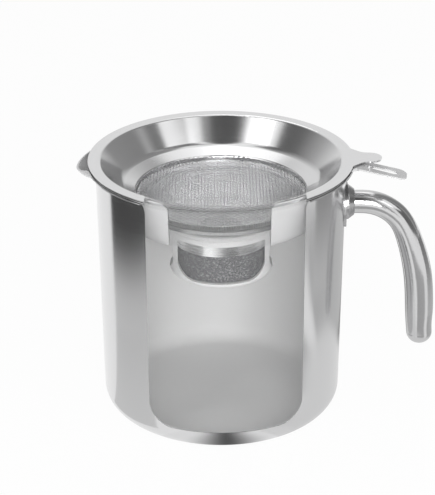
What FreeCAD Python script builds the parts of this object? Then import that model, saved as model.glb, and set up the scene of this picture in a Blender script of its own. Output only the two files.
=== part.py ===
"""Bacon grease container: pot, funnel, strainer tray, filter cup, cartridge and lid.

Millimetres, +Z up.  The origin is the centre of the pot's flat base, the spout
points along -X, the handle along +X and the see-through front sections face -Y.
The lid is built closed and then turned over onto its knob behind the pot.
"""
import FreeCAD, Part
import math
import os

# ---- pot -------------------------------------------------------------------
POT_BASE_R = 63.5           # outer radius of the wall where it meets the base corner
POT_RIM_R = 65.0            # outer radius of the wall just under the lip
POT_WALL = 1.0              # drawn sheet
POT_CORNER_R = 10.0         # outer radius of the bottom corner
POT_LIP_R = 68.6            # outer radius of the turned-out lip
POT_LIP_BEND = 1.5          # bend under the lip
POT_LIP_TOP = 137.2         # height of the lip's upper face

SPOUT_ROOT_X = 56.0         # the spout's plan starts here, inside the wall
SPOUT_TIP_X = 75.6          # reach of the spout at the lip's height
SPOUT_DROP = 3.2            # the spout's tip lies this much under the lip
SPOUT_SKIN = 0.75           # shift inwards and upwards from its outside to its hollow
# Each level of the spout: height, corner of its sides, half width at the root, nose radius.
SPOUT_LEVELS = (
    (128.7, 66.2, 9.0, 3.3),
    (131.0, 74.3, 16.2, 8.8),
    (132.7, 84.0, 20.3, 15.6),
    (134.6, 85.1, 23.0, 16.6),
    (138.6, 91.3, 23.4, 17.9),
)

SPOUT_CLEARANCE = 5.0       # how far the block over the spout reaches above the lip

# ---- see-through front sections ------------------------------------------------
FRONT_LEFT = -37.6          # sides of the pot's section
FRONT_RIGHT = 41.8
FRONT_BOTTOM = 11.6
FRONT_LOW_CORNER = 12.0
FRONT_FLARE_Z = 134.1       # the section widens from here to the lip
FRONT_FLARE_BEND = 11.0
FRONT_FLARE = 3.5
NOTCH_LEFT = -26.2          # sides of the narrower sections of funnel and tray
NOTCH_RIGHT = 24.6
NOTCH_LEFT_BEND = 5.5
NOTCH_RIGHT_BEND = 4.0
NOTCH_LEDGE_Z = 137.9       # over this height they are as wide as the pot's section
NOTCH_RIM_R = 64.2          # the funnel's wall keeps its rim inside this radius
NOTCH_NECK_R = 27.4         # the funnel's floor is whole inside this radius
FUNNEL_NOTCH_LOW = 104.0
TRAY_NOTCH_LOW = 116.0
CUT_MARGIN = 1.0            # cutters reach this far past what they cut

# ---- handle ----------------------------------------------------------------
HANDLE_START_X = 60.0       # the tube's model starts inside the wall and is cut back
HANDLE_Z = 113.7            # height of the handle's root
HANDLE_WALL = 1.0
# Centre line from the start: (length, degrees turned downwards over that length).
HANDLE_RUNS = ((13.6, 0.0), (30.0, 67.0), (40.3, 20.4), (21.6, 0.0))
# Tube radius at distances along the centre line: slim at the root, full in the grip.
HANDLE_SWELLS = (
    (0.0, 6.15), (6.0, 6.15), (13.6, 6.15), (20.0, 6.2), (28.0, 6.25), (36.0, 6.3), (43.6, 6.5),
    (52.0, 6.85), (62.0, 7.25), (72.0, 7.5), (83.9, 7.55), (94.0, 7.4), (105.5, 6.85),
)
CAP_LENGTH = 6.6            # end cap beyond the tube
CAP_ROUND = 6.2
CAP_TAPER = 0.1
CAP_PLUG = 4.0              # part of the cap inside the tube
PLATE_THICK = 1.2
PLATE_Z = 112.3             # the saddle plate's centre is a little under the tube's
PLATE_HALF_WIDTH = 11.0
PLATE_HALF_HEIGHT = 11.8
PLATE_ROUND = 10.5
FERRULE_R = 9.2
FERRULE_RIM_BEND = 1.2
FERRULE_MOUTH_BEND = 0.4
FERRULE_RIM_X = 66.5        # end of the ferrule's short upright rim
FERRULE_END = 69.6
FERRULE_MOUTH_R = 6.9       # outer radius where the tube leaves the ferrule

# ---- thin-sheet parts that stack on the lip ----------------------------------
SHEET = 0.8                 # sheet thickness of funnel, tray and lid
STACK_GAP = 0.05            # running gap between stacked flanges
FLANGE_BEND = 1.6           # inner bend between a wall and its flange
FUNNEL_TOP = POT_LIP_TOP + STACK_GAP + SHEET
TRAY_TOP = FUNNEL_TOP + STACK_GAP + SHEET
LID_TOP = TRAY_TOP + STACK_GAP + SHEET

# ---- funnel ------------------------------------------------------------------
FUNNEL_FLANGE_R = 68.7
FUNNEL_MOUTH_R = 63.2       # inner wall line at the flange
FUNNEL_WAIST_R = 53.4       # inner wall line at the shoulder
FUNNEL_SHOULDER_Z = 109.6
FUNNEL_SHOULDER_ROUND = 8.0
FUNNEL_THROAT_Z = 107.2     # floor height where it turns into the neck
FUNNEL_THROAT_BEND = 1.6
NECK_IN_R = 25.6
NECK_END_Z = 101.5
FUNNEL_TAB_TURN = -7.5      # degrees about Z from +X
FUNNEL_TAB_DROP = 11.0      # degrees below level
FUNNEL_TAB_START = 65.5     # inside the flange
FUNNEL_TAB_BEND = 73.0      # where the tab starts to drop
FUNNEL_TAB_BEND_R = 6.0
FUNNEL_TAB_END = 96.0
FUNNEL_TAB_HALF = 6.0
FUNNEL_TAB_END_ROUND = 4.8
FUNNEL_TAB_ROOT_HALF = 11.0
FUNNEL_TAB_ROOT_BEND = 6.0
SLOT_START = 78.0           # narrow end of the tab's slot
SLOT_END = 91.3
SLOT_START_HALF = 1.5
SLOT_END_HALF = 2.4
SLOT_START_ROUND = 1.35
SLOT_END_ROUND = 2.2

# ---- filter cup and its seal ---------------------------------------------------
CUP_BORE_R = 26.5           # slides over the neck
CUP_OUT_R = 28.5
CUP_TOP = 103.6
CUP_BOTTOM = 76.0
CUP_FOOT_R = 27.3           # outer radius at the floor
CUP_FLOOR = 2.0
CUP_SEAT_R = 25.4           # inner radius beside the cartridge
CUP_SEAT_TOP = 101.0
CUP_ROUND = 3.5
CUP_DRAIN_R = 15.0
CUP_RIM_OUT_ROUND = 0.7
CUP_RIM_IN_ROUND = 0.3
CUP_WINDOWS = 3
CUP_WINDOW_HALF = 22.7
CUP_WINDOW_LOW = 78.6
CUP_WINDOW_HIGH = 100.4
CUP_WINDOW_LOW_ROUND = 9.0
CUP_WINDOW_HIGH_ROUND = 1.5
SEAL_R = 29.1
SEAL_TOP = 106.1
SEAL_TAPER = 0.2
SEAL_ROUNDS = (0.5, 0.9, 0.6)   # low outer edge, high outer edge, high inner edge

# ---- cartridge -------------------------------------------------------------------
CARTRIDGE_R = 25.1
CARTRIDGE_TOP = 100.9
CARTRIDGE_GAP = 0.05        # over the cup's floor
CARTRIDGE_RING_LOW = 93.4
CARTRIDGE_SHEET = 0.8
CARTRIDGE_BORE_R = 11.0
CARTRIDGE_RECESS = 0.2      # sleeve and base stand this much inside the ring
CARTRIDGE_RING_ROUND = 0.6
CARTRIDGE_BASE_ROUND = 0.3

# ---- strainer tray ---------------------------------------------------------------
TRAY_FLANGE_R = 68.8
TRAY_MOUTH_R = 62.7
TRAY_KNEE = (52.0, 125.8, 7.0)   # inner wall line: radius, height, bend
TRAY_COLLAR_R = 44.4        # inner radius of the collar that holds the mesh
TRAY_COLLAR_TOP = 121.9
TRAY_COLLAR_BEND = 1.0
TRAY_COLLAR_LOW = 116.7
MESH_TOP = 119.8
MESH_THICK = 0.5
MESH_CELLS = 12             # openings across the grid that stands for the cloth
MESH_PITCH = 7.0
MESH_BAR = 2.0
MESH_OPEN_R = 42.3          # openings stay inside this radius
MESH_RING_IN_R = 42.4
MESH_RING_LOW = 114.3
MESH_RING_ROUNDS = (0.6, 0.8, 0.3)   # low inner edge, low outer edge, high inner edge
TRAY_TAB_TURN = -0.5
TRAY_TAB_START = 66.0       # inside the flange
TRAY_TAB_END = 83.3
TRAY_TAB_HALF = 6.3
TRAY_TAB_END_ROUND = 6.2
TRAY_TAB_ROOT_HALF = 14.0
TRAY_TAB_ROOT_BEND = 7.0

# ---- lid ---------------------------------------------------------------------------
LID_FLANGE_R = 68.5
LID_MOUTH_R = 61.6          # top line of the dish wall
LID_FLOOR_R = 48.4
LID_FLOOR_Z = 134.2         # upper face of the dish floor
LID_FLOOR_BEND = 3.0
LID_FLANGE_BEND = 2.0
LID_TAB_TIP = 78.4
LID_TAB_TIP_ROUND = 6.0
LID_TAB_ROOT_HALF = 22.0
LID_TAB_ROOT = 62.5         # inside the flange
KNOB_HEIGHT = 28.0
# The knob's outline over the lid: radius, height, bend.
KNOB_OUTLINE = (
    (13.5, 0.0, 0.5), (13.5, 2.0, 0.8), (8.5, 8.6, 6.0), (8.5, 15.6, 5.0),
    (17.5, 22.5, 1.4), (17.5, KNOB_HEIGHT, 2.0),
)
SCREW_R = 2.0
SCREW_HOLE_R = 2.2
SCREW_DEPTH = 10.0          # length of thread inside the knob
SCREW_HEAD_R = 4.2
SCREW_HEAD = 2.2
SCREW_HEAD_ROUND = 1.5
CROSS_LENGTH = 4.8          # cross slot in the screw's head
CROSS_WIDTH = 0.9
CROSS_DEPTH = 1.2
WASHER_R = 6.5
WASHER_ROUND = 0.3
WASHER = 0.8
PARK_DISTANCE = 162.0       # from the pot's axis to the parked lid's axis

SPIN = FreeCAD.Vector(0, 0, 1)
CENTRE = FreeCAD.Vector(0, 0, 0)


# ---- outlines ------------------------------------------------------------------------
def unit(a, b):
    """Unit vector from point a to point b."""
    length = math.hypot(b[0] - a[0], b[1] - a[1])
    return ((b[0] - a[0]) / length, (b[1] - a[1]) / length)


def offset_corners(corners, distance):
    """Move a bent line (u, v, bend radius) to its left by the distance."""
    moved = []
    last = len(corners) - 1
    for i, (u, v, bend) in enumerate(corners):
        before = unit(corners[max(i - 1, 0)], corners[max(i, 1)])
        after = unit(corners[min(i, last - 1)], corners[min(i + 1, last)])
        turn = before[0] * after[1] - before[1] * after[0]
        lean = 1.0 + before[0] * after[0] + before[1] * after[1]
        du = -(before[1] + after[1]) / lean
        dv = (before[0] + after[0]) / lean
        new_bend = bend - distance * math.copysign(1.0, turn) if bend else 0.0
        moved.append((u + distance * du, v + distance * dv, new_bend))
    return moved


def bend_points(corners, closed=False):
    """Points of a bent line: straight ends and (start, middle, end) of every bend."""
    count = len(corners)
    pieces = []
    for i, (u, v, bend) in enumerate(corners):
        at_end = not closed and i in (0, count - 1)
        if not bend or at_end:
            pieces.append([(u, v)])
            continue
        back = unit(corners[i], corners[i - 1])
        ahead = unit(corners[i], corners[(i + 1) % count])
        half = 0.5 * math.acos(max(-1.0, min(1.0, back[0] * ahead[0] + back[1] * ahead[1])))
        reach = bend / math.tan(half)
        middle = unit((0, 0), (back[0] + ahead[0], back[1] + ahead[1]))
        depth = bend / math.sin(half) - bend
        pieces.append([
            (u + back[0] * reach, v + back[1] * reach),
            (u + middle[0] * depth, v + middle[1] * depth),
            (u + ahead[0] * reach, v + ahead[1] * reach),
        ])
    return pieces


def edges_through(pieces, place, closed=False):
    """Lines and arcs through the pieces of a bent line; place maps (u, v) to a vector."""
    edges = []
    for piece in pieces:
        if len(piece) == 3:
            edges.append(Part.Arc(*[place(p) for p in piece]).toShape())
    runs = list(zip(pieces, pieces[1:] + (pieces[:1] if closed else [])))
    if not closed:
        runs = runs[:len(pieces) - 1]
    for one, other in runs:
        start, end = place(one[-1]), place(other[0])
        if start.distanceToPoint(end) > 1e-6:
            edges.append(Part.LineSegment(start, end).toShape())
    return edges


def on_section(point):
    """A point of a turned section: (radius, height)."""
    return FreeCAD.Vector(point[0], 0, point[1])


def wire_of(edges):
    return Part.Wire(Part.__sortEdges__(edges))


def outline(corners, place):
    """Closed wire round the corners (u, v, bend radius)."""
    return wire_of(edges_through(bend_points(corners, closed=True), place, closed=True))


def turned(corners):
    """Solid turned about Z from a closed section with corners (radius, height, bend)."""
    return Part.Face(outline(corners, on_section)).revolve(CENTRE, SPIN, 360)


def sheet_ring(corners, thickness, round_start=False, round_end=False):
    """Sheet metal turned about Z; the corners are one face, the other lies to its left."""
    near = bend_points(corners)
    far = bend_points(offset_corners(corners, thickness))
    edges = edges_through(near, on_section) + edges_through(far, on_section)
    for index, rounded, way in ((0, round_start, -1.0), (-1, round_end, 1.0)):
        a, b = near[index][index], far[index][index]
        if rounded:
            inner, outer = (corners[1], corners[0]) if index == 0 else (corners[-2], corners[-1])
            out = unit(inner, outer)
            middle = ((a[0] + b[0] + out[0] * thickness) / 2, (a[1] + b[1] + out[1] * thickness) / 2)
            edges.append(Part.Arc(on_section(a), on_section(middle), on_section(b)).toShape())
        else:
            edges.append(Part.LineSegment(on_section(a), on_section(b)).toShape())
    return Part.Face(wire_of(edges)).revolve(CENTRE, SPIN, 360)


def plate(corners, low, high):
    """Flat plate between two heights, with corners (x, y, bend)."""
    face = Part.Face(outline(corners, lambda p: FreeCAD.Vector(p[0], p[1], low)))
    return face.extrude(FreeCAD.Vector(0, 0, high - low))


def front_prism(corners, depth):
    """Block that runs from the Z axis towards -Y, with corners (x, height, bend)."""
    face = Part.Face(outline(corners, on_section))
    return face.extrude(FreeCAD.Vector(0, -depth, 0))


def notch_prism(low):
    """Front block of funnel and tray: a notch in the wall, wider over the ledge."""
    top = TRAY_TOP + CUT_MARGIN
    return front_prism([
        (NOTCH_LEFT, low, 0.0),
        (NOTCH_RIGHT, low, 0.0),
        (NOTCH_RIGHT, NOTCH_LEDGE_Z, NOTCH_RIGHT_BEND),
        (FRONT_RIGHT, NOTCH_LEDGE_Z, 0.0),
        (FRONT_RIGHT, top, 0.0),
        (FRONT_LEFT, top, 0.0),
        (FRONT_LEFT, NOTCH_LEDGE_Z, 0.0),
        (NOTCH_LEFT, NOTCH_LEDGE_Z, NOTCH_LEFT_BEND),
    ], TRAY_FLANGE_R + CUT_MARGIN)


def about_z(shape, degrees):
    turned_shape = shape.copy()
    turned_shape.rotate(CENTRE, SPIN, degrees)
    return turned_shape


def one_solid(shape):
    """The single solid of a boolean result."""
    clean = shape.removeSplitter()
    if len(clean.Solids) != 1:
        raise RuntimeError("expected one solid, found %d" % len(clean.Solids))
    return clean.Solids[0]


# ---- pot -------------------------------------------------------------------------------
def pot_line():
    """Outer face of the pot's sheet: base, wall and the underside of the lip."""
    return [
        (0.0, 0.0, 0.0),
        (POT_BASE_R, 0.0, POT_CORNER_R),
        (POT_RIM_R, POT_LIP_TOP - POT_WALL, POT_LIP_BEND),
        (POT_LIP_R, POT_LIP_TOP - POT_WALL, 0.0),
    ]


def pot_skin(outset):
    """Solid inside the pot's outer wall face moved out by the outset."""
    lean = (POT_RIM_R - POT_BASE_R) / (POT_LIP_TOP - POT_WALL)
    return turned([
        (0.0, 0.0, 0.0),
        (POT_BASE_R + outset, 0.0, 0.0),
        (POT_BASE_R + outset + lean * POT_LIP_TOP, POT_LIP_TOP, 0.0),
        (0.0, POT_LIP_TOP, 0.0),
    ])


def spout_block(inset):
    """Nose of the spout; the inset makes the hollow inside it."""
    wires = []
    for height, corner, half, nose in SPOUT_LEVELS:
        splay = math.atan2(half, corner - SPOUT_ROOT_X)
        tip = corner - inset / math.sin(splay)
        root_half = (tip - SPOUT_ROOT_X) * math.tan(splay)
        corners = [
            (-SPOUT_ROOT_X, -root_half, 0.0),
            (-SPOUT_ROOT_X, root_half, 0.0),
            (-tip, 0.0, nose - inset),
        ]
        level = height + inset
        wires.append(outline(corners, lambda p, z=level: FreeCAD.Vector(p[0], p[1], z)))
    return Part.makeLoft(wires, True, False)


def spout_top_cut():
    """Block above the sloping upper edge of the spout."""
    start = -POT_LIP_R
    end = start - 2.0 * (SPOUT_TIP_X - POT_LIP_R)
    low = POT_LIP_TOP - 2.0 * SPOUT_DROP
    high = POT_LIP_TOP + SPOUT_CLEARANCE
    corners = [(start, POT_LIP_TOP, 0.0), (end, low, 0.0), (end, high, 0.0), (start, high, 0.0)]
    half = SPOUT_LEVELS[-1][2]
    face = Part.Face(outline(corners, lambda p: FreeCAD.Vector(p[0], -half, p[1])))
    return face.extrude(FreeCAD.Vector(0, 2.0 * half, 0))


def whole_pot():
    """Drawn pot with lip and spout, before the front section is cut out."""
    shell = sheet_ring(pot_line(), POT_WALL, round_end=True)
    nose = spout_block(0.0).cut(pot_skin(0.0))
    reach = SPOUT_LEVELS[-1][1]
    above = Part.makeBox(reach, 2.0 * reach, SPOUT_CLEARANCE, FreeCAD.Vector(-reach, -reach, POT_LIP_TOP))
    pot = shell.fuse(nose).cut(spout_block(SPOUT_SKIN)).cut(above).cut(spout_top_cut())
    return one_solid(pot)


def pot_parts():
    pot = whole_pot()
    top = POT_LIP_TOP + CUT_MARGIN
    section = front_prism([
        (FRONT_LEFT, FRONT_BOTTOM, FRONT_LOW_CORNER),
        (FRONT_RIGHT, FRONT_BOTTOM, FRONT_LOW_CORNER),
        (FRONT_RIGHT, FRONT_FLARE_Z, FRONT_FLARE_BEND),
        (FRONT_RIGHT + FRONT_FLARE, top, 0.0),
        (FRONT_LEFT - FRONT_FLARE, top, 0.0),
        (FRONT_LEFT, FRONT_FLARE_Z, FRONT_FLARE_BEND),
    ], POT_LIP_R + CUT_MARGIN)
    return {
        "pot_body": one_solid(pot.cut(section)),
        "pot_front_section": one_solid(pot.common(section)),
    }


# ---- handle ------------------------------------------------------------------------------
def handle_place(distance):
    """Point of the handle's centre line at a distance from its start, and its direction."""
    x, z, heading = HANDLE_START_X, HANDLE_Z, 0.0
    for length, degrees in HANDLE_RUNS:
        part = min(distance, length)
        angle = math.radians(degrees) * part / length
        if degrees:
            bend = length / math.radians(degrees)
            x += bend * (math.sin(heading + angle) - math.sin(heading))
            z -= bend * (math.cos(heading) - math.cos(heading + angle))
        else:
            x += part * math.cos(heading)
            z -= part * math.sin(heading)
        heading += angle
        distance -= part
    return FreeCAD.Vector(x, 0, z), FreeCAD.Vector(math.cos(heading), 0, -math.sin(heading))


def handle_bar(inset):
    """Round bar that follows the centre line and swells in the grip."""
    circles = []
    for distance, radius in HANDLE_SWELLS:
        place, direction = handle_place(distance)
        circles.append(Part.Wire(Part.Circle(place, direction, radius - inset).toShape()))
    return Part.makeLoft(circles, True, False)


def handle_parts():
    wall_face = pot_skin(0.0)
    plate_face = pot_skin(PLATE_THICK)
    low, high = PLATE_Z - PLATE_HALF_HEIGHT, PLATE_Z + PLATE_HALF_HEIGHT
    corners = [
        (-PLATE_HALF_WIDTH, low, PLATE_ROUND),
        (PLATE_HALF_WIDTH, low, PLATE_ROUND),
        (PLATE_HALF_WIDTH, high, PLATE_ROUND),
        (-PLATE_HALF_WIDTH, high, PLATE_ROUND),
    ]
    bar = Part.Face(outline(corners, lambda p: FreeCAD.Vector(0, p[0], p[1])))
    saddle = plate_face.cut(wall_face).common(bar.extrude(FreeCAD.Vector(2 * POT_RIM_R, 0, 0)))

    outer = handle_bar(0.0)
    dome = turned([
        (0.0, HANDLE_START_X, 0.0),
        (FERRULE_R, HANDLE_START_X, 0.0),
        (FERRULE_R, FERRULE_RIM_X, FERRULE_RIM_BEND),
        (FERRULE_MOUTH_R, FERRULE_END, FERRULE_MOUTH_BEND),
        (0.0, FERRULE_END, 0.0),
    ])
    dome.Placement = FreeCAD.Placement(
        FreeCAD.Vector(0, 0, HANDLE_Z), FreeCAD.Rotation(SPIN, FreeCAD.Vector(1, 0, 0)))
    ferrule = dome.cut(plate_face).cut(outer)
    tube = outer.cut(handle_bar(HANDLE_WALL)).cut(plate_face)

    end_r = HANDLE_SWELLS[-1][1]
    plug_r = end_r - HANDLE_WALL
    cap = turned([
        (0.0, -CAP_PLUG, 0.0),
        (plug_r, -CAP_PLUG, 0.0),
        (plug_r, 0.0, 0.0),
        (end_r, 0.0, 0.0),
        (end_r - CAP_TAPER, CAP_LENGTH, CAP_ROUND),
        (0.0, CAP_LENGTH, 0.0),
    ])
    end, direction = handle_place(HANDLE_SWELLS[-1][0])
    cap.Placement = FreeCAD.Placement(end, FreeCAD.Rotation(SPIN, direction))
    cap = cap.cut(tube)
    return {
        "handle_saddle_plate": one_solid(saddle),
        "handle_ferrule": one_solid(ferrule),
        "handle_tube": one_solid(tube),
        "handle_end_cap": one_solid(cap),
    }


# ---- funnel --------------------------------------------------------------------------------
def tab_corners(start, end, half, root_half, end_bend, root_bend):
    """Tab outline along +X, wide where it leaves the flange and rounded at its end."""
    neck = start + root_half - half
    return [
        (start, -root_half, 0.0),
        (neck, -half, root_bend),
        (end, -half, end_bend),
        (end, half, end_bend),
        (neck, half, root_bend),
        (start, root_half, 0.0),
    ]


def funnel_tab():
    """Long slotted tab, level at the flange and then bent down a little."""
    drop = (FUNNEL_TAB_END - FUNNEL_TAB_BEND) * math.tan(math.radians(FUNNEL_TAB_DROP))
    under = FUNNEL_TOP - SHEET
    side = [
        (FUNNEL_TAB_START, FUNNEL_TOP, 0.0),
        (FUNNEL_TAB_BEND, FUNNEL_TOP, FUNNEL_TAB_BEND_R + SHEET),
        (FUNNEL_TAB_END, FUNNEL_TOP - drop, 0.0),
        (FUNNEL_TAB_END, under - drop, 0.0),
        (FUNNEL_TAB_BEND, under, FUNNEL_TAB_BEND_R),
        (FUNNEL_TAB_START, under, 0.0),
    ]
    reach = FUNNEL_TAB_ROOT_HALF
    strip = Part.Face(outline(side, lambda p: FreeCAD.Vector(p[0], -reach, p[1])))
    strip = strip.extrude(FreeCAD.Vector(0, 2 * reach, 0))
    low, high = under - 2 * drop, FUNNEL_TOP + CUT_MARGIN
    blade = plate(
        tab_corners(FUNNEL_TAB_START, FUNNEL_TAB_END, FUNNEL_TAB_HALF,
                    FUNNEL_TAB_ROOT_HALF, FUNNEL_TAB_END_ROUND, FUNNEL_TAB_ROOT_BEND), low, high)
    slot = plate([
        (SLOT_START, -SLOT_START_HALF, SLOT_START_ROUND),
        (SLOT_END, -SLOT_END_HALF, SLOT_END_ROUND),
        (SLOT_END, SLOT_END_HALF, SLOT_END_ROUND),
        (SLOT_START, SLOT_START_HALF, SLOT_START_ROUND),
    ], low, high)
    return about_z(strip.common(blade).cut(slot), FUNNEL_TAB_TURN)


def funnel_parts():
    # From the neck's foot up the inside to the flange; the sheet lies to the right.
    inner_line = [
        (NECK_IN_R, NECK_END_Z, 0.0),
        (NECK_IN_R, FUNNEL_THROAT_Z, FUNNEL_THROAT_BEND),
        (FUNNEL_WAIST_R, FUNNEL_SHOULDER_Z, FUNNEL_SHOULDER_ROUND),
        (FUNNEL_MOUTH_R, FUNNEL_TOP, FLANGE_BEND),
        (FUNNEL_FLANGE_R, FUNNEL_TOP, 0.0),
    ]
    bowl = sheet_ring(inner_line, -SHEET, round_end=True)
    seal = turned([
        (CUP_BORE_R, CUP_TOP, 0.0),
        (SEAL_R - SEAL_TAPER, CUP_TOP, SEAL_ROUNDS[0]),
        (SEAL_R, SEAL_TOP, SEAL_ROUNDS[1]),
        (CUP_BORE_R, SEAL_TOP, SEAL_ROUNDS[2]),
    ])
    seal = seal.cut(bowl)
    height = FUNNEL_TOP + CUT_MARGIN - FUNNEL_NOTCH_LOW
    low = FreeCAD.Vector(0, 0, FUNNEL_NOTCH_LOW)
    notch = notch_prism(FUNNEL_NOTCH_LOW).cut(Part.makeCylinder(NOTCH_NECK_R, height, low))
    flange_cut = front_prism([
        (FRONT_LEFT, FUNNEL_SHOULDER_Z, 0.0),
        (FRONT_RIGHT, FUNNEL_SHOULDER_Z, 0.0),
        (FRONT_RIGHT, FUNNEL_TOP + CUT_MARGIN, 0.0),
        (FRONT_LEFT, FUNNEL_TOP + CUT_MARGIN, 0.0),
    ], FUNNEL_FLANGE_R + CUT_MARGIN).cut(Part.makeCylinder(NOTCH_RIM_R, height, low))
    section = notch.fuse(flange_cut)
    funnel = one_solid(bowl.fuse(funnel_tab()))
    return {
        "funnel_body": one_solid(funnel.cut(section)),
        "funnel_front_section": one_solid(funnel.common(section)),
        "filter_seal_ring": one_solid(seal),
    }


# ---- filter cup and cartridge -----------------------------------------------------------------
def cup_parts():
    seat = CUP_SEAT_TOP
    cup = turned([
        (CUP_DRAIN_R, CUP_BOTTOM, 0.0),
        (CUP_FOOT_R, CUP_BOTTOM, CUP_ROUND),
        (CUP_OUT_R, CUP_TOP - STACK_GAP, CUP_RIM_OUT_ROUND),
        (CUP_BORE_R, CUP_TOP - STACK_GAP, CUP_RIM_IN_ROUND),
        (CUP_BORE_R, seat, 0.0),
        (CUP_SEAT_R, seat, 0.0),
        (CUP_SEAT_R, CUP_BOTTOM + CUP_FLOOR, 0.0),
        (CUP_DRAIN_R, CUP_BOTTOM + CUP_FLOOR, 0.0),
    ])
    window = front_prism([
        (-CUP_WINDOW_HALF, CUP_WINDOW_LOW, CUP_WINDOW_LOW_ROUND),
        (CUP_WINDOW_HALF, CUP_WINDOW_LOW, CUP_WINDOW_LOW_ROUND),
        (CUP_WINDOW_HALF, CUP_WINDOW_HIGH, CUP_WINDOW_HIGH_ROUND),
        (-CUP_WINDOW_HALF, CUP_WINDOW_HIGH, CUP_WINDOW_HIGH_ROUND),
    ], CUP_OUT_R + CUT_MARGIN)
    for step in range(CUP_WINDOWS):
        cup = cup.cut(about_z(window, 360.0 * step / CUP_WINDOWS))
    return {"filter_cup": one_solid(cup)}


def cartridge_parts():
    foot = CUP_BOTTOM + CUP_FLOOR + CARTRIDGE_GAP
    base_top = foot + CARTRIDGE_SHEET
    under_ring = CARTRIDGE_TOP - CARTRIDGE_SHEET
    in_ring_r = CARTRIDGE_R - CARTRIDGE_SHEET
    sleeve_r = CARTRIDGE_R - CARTRIDGE_RECESS
    ring = turned([
        (CARTRIDGE_R, CARTRIDGE_RING_LOW, 0.0),
        (CARTRIDGE_R, CARTRIDGE_TOP, CARTRIDGE_RING_ROUND),
        (CARTRIDGE_BORE_R, CARTRIDGE_TOP, 0.0),
        (CARTRIDGE_BORE_R, under_ring, 0.0),
        (in_ring_r, under_ring, 0.0),
        (in_ring_r, CARTRIDGE_RING_LOW, 0.0),
    ])
    sleeve = turned([
        (CARTRIDGE_BORE_R, base_top, 0.0),
        (sleeve_r, base_top, 0.0),
        (sleeve_r, CARTRIDGE_RING_LOW, 0.0),
        (in_ring_r, CARTRIDGE_RING_LOW, 0.0),
        (in_ring_r, under_ring, 0.0),
        (CARTRIDGE_BORE_R, under_ring, 0.0),
    ])
    base = turned([
        (0.0, foot, 0.0),
        (sleeve_r, foot, CARTRIDGE_BASE_ROUND),
        (sleeve_r, base_top, 0.0),
        (0.0, base_top, 0.0),
    ])
    return {"cartridge_ring": ring, "cartridge_filter_sleeve": sleeve, "cartridge_base": base}


# ---- strainer tray -------------------------------------------------------------------------------
def mesh_grid(low):
    """Thin disc with a plain grid of square openings."""
    disc = Part.makeCylinder(TRAY_COLLAR_R, MESH_THICK, FreeCAD.Vector(0, 0, low))
    half = (MESH_PITCH - MESH_BAR) / 2.0
    steps = [MESH_PITCH * (i - (MESH_CELLS - 1) / 2.0) for i in range(MESH_CELLS)]
    cells = [
        Part.makeBox(2.0 * half, 2.0 * half, 3.0 * MESH_THICK,
                     FreeCAD.Vector(x - half, y - half, low - MESH_THICK))
        for x in steps for y in steps
        if math.hypot(abs(x) + half, abs(y) + half) < MESH_OPEN_R
    ]
    return one_solid(disc.cut(Part.makeCompound(cells)))


def tray_parts():
    # From the foot of the mesh collar up the inside to the flange.
    inner_line = [
        (TRAY_COLLAR_R, TRAY_COLLAR_LOW, 0.0),
        (TRAY_COLLAR_R, TRAY_COLLAR_TOP, TRAY_COLLAR_BEND),
        TRAY_KNEE,
        (TRAY_MOUTH_R, TRAY_TOP, FLANGE_BEND),
        (TRAY_FLANGE_R, TRAY_TOP, 0.0),
    ]
    dish = sheet_ring(inner_line, -SHEET, round_end=True)
    tab = plate(tab_corners(TRAY_TAB_START, TRAY_TAB_END, TRAY_TAB_HALF, TRAY_TAB_ROOT_HALF,
                            TRAY_TAB_END_ROUND, TRAY_TAB_ROOT_BEND), TRAY_TOP - SHEET, TRAY_TOP)
    tray = one_solid(dish.fuse(about_z(tab, TRAY_TAB_TURN)))
    section = notch_prism(TRAY_NOTCH_LOW)
    mesh_low = MESH_TOP - MESH_THICK
    ring = turned([
        (MESH_RING_IN_R, MESH_RING_LOW, MESH_RING_ROUNDS[0]),
        (TRAY_COLLAR_R + SHEET, MESH_RING_LOW, MESH_RING_ROUNDS[1]),
        (TRAY_COLLAR_R + SHEET, TRAY_COLLAR_LOW, 0.0),
        (TRAY_COLLAR_R, TRAY_COLLAR_LOW, 0.0),
        (TRAY_COLLAR_R, mesh_low, 0.0),
        (MESH_RING_IN_R, mesh_low, MESH_RING_ROUNDS[2]),
    ])
    return {
        "tray_body": one_solid(tray.cut(section)),
        "tray_front_section": one_solid(tray.common(section)),
        "tray_mesh": mesh_grid(mesh_low),
        "tray_mesh_ring": ring,
    }


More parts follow.
